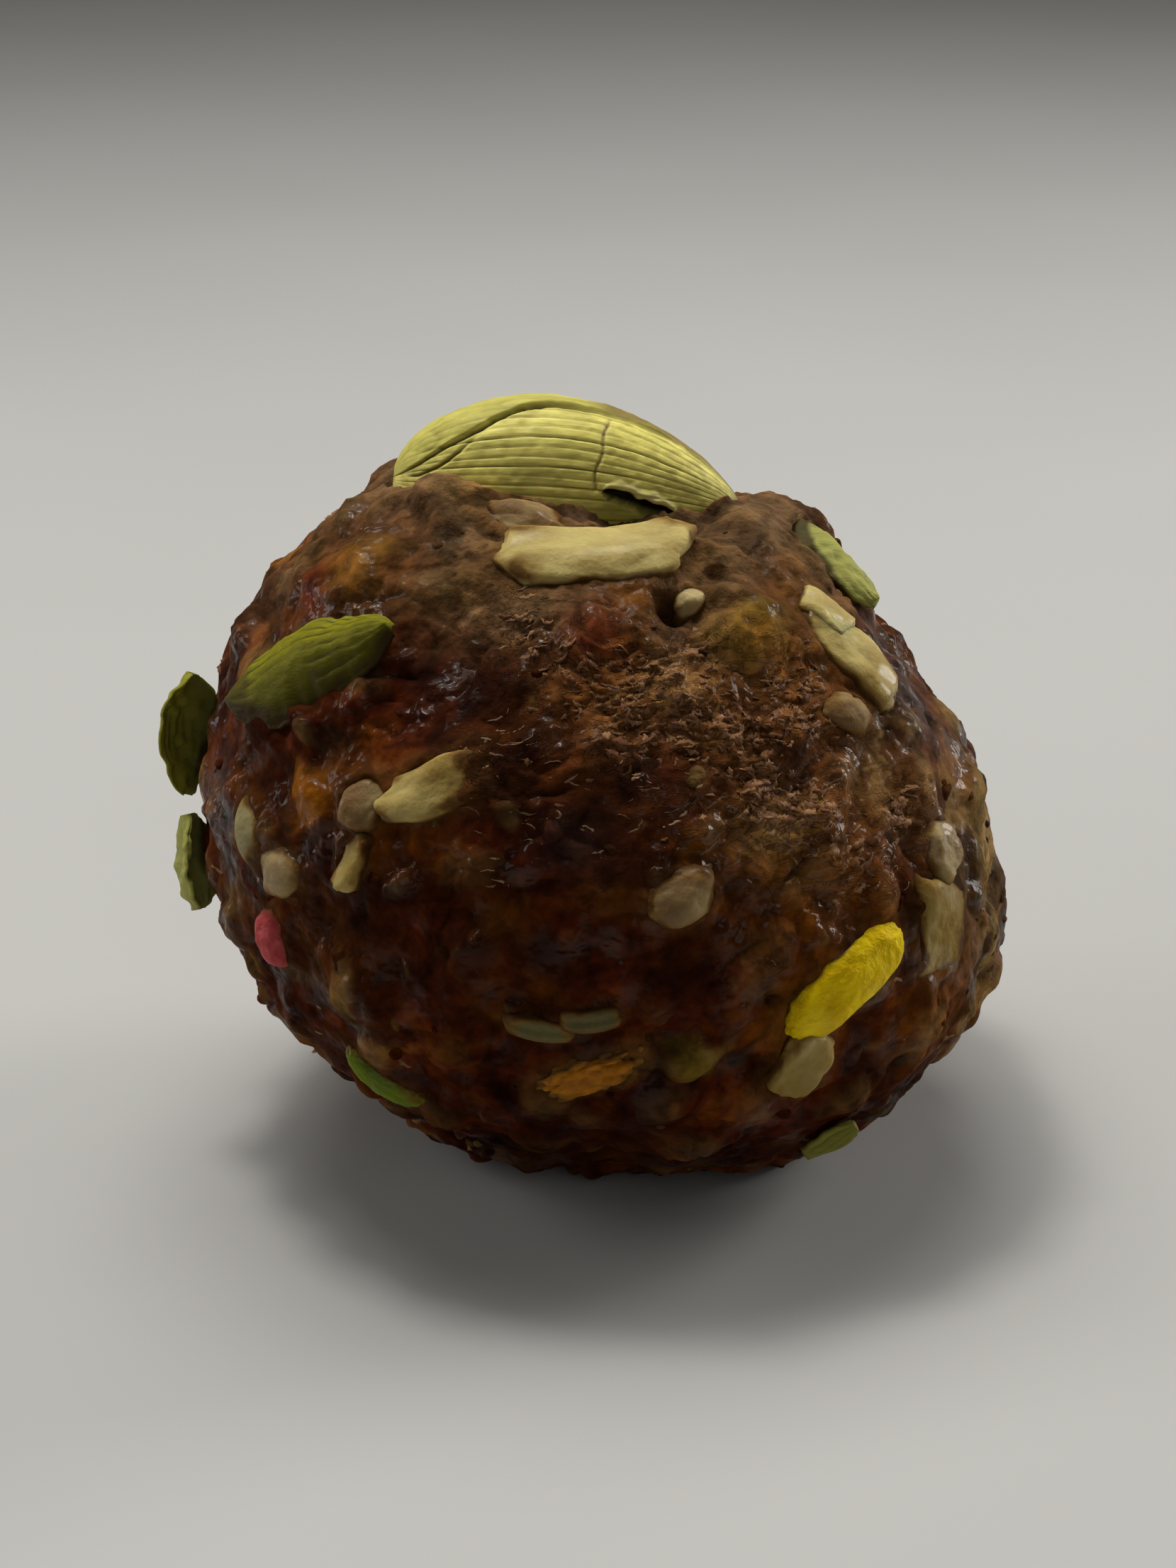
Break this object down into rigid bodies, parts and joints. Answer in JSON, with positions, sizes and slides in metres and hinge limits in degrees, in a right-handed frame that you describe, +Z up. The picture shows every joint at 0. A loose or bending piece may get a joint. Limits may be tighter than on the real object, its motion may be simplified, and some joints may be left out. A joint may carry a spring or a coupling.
{
  "type": "saffron ladoo",
  "caption": "Hand-pressed round sweet of dark date paste set with chopped nuts, fruit and candied fennel seeds, with a cardamom pod in its crown and torn husks on its flanks.",
  "frame": {"origin": "on the flat spot that it rests on, straight below the ball's centre", "axes": "+Z up from the resting spot, -Y towards the front, +X to the right as seen from the front"},
  "size_m": [0.0422, 0.04, 0.0382],
  "materials": {
    "date_paste": "moist dark brown date paste with pale nuts and coloured seeds, sticky and uneven",
    "pod_wall": "dry yellow-green cardamom pod wall, finely ribbed lengthwise",
    "torn_husk": "papery olive-green cardamom husk, wrinkled lengthwise"
  },
  "bodies": {
    "root": {"ladoo": "date_paste", "cardamom_pod": "pod_wall", "husk_flank": "torn_husk", "husk_curl": "torn_husk", "husk_side": "torn_husk", "husk_shoulder": "torn_husk", "husk_low": "torn_husk"}
  },
  "joints": []
}
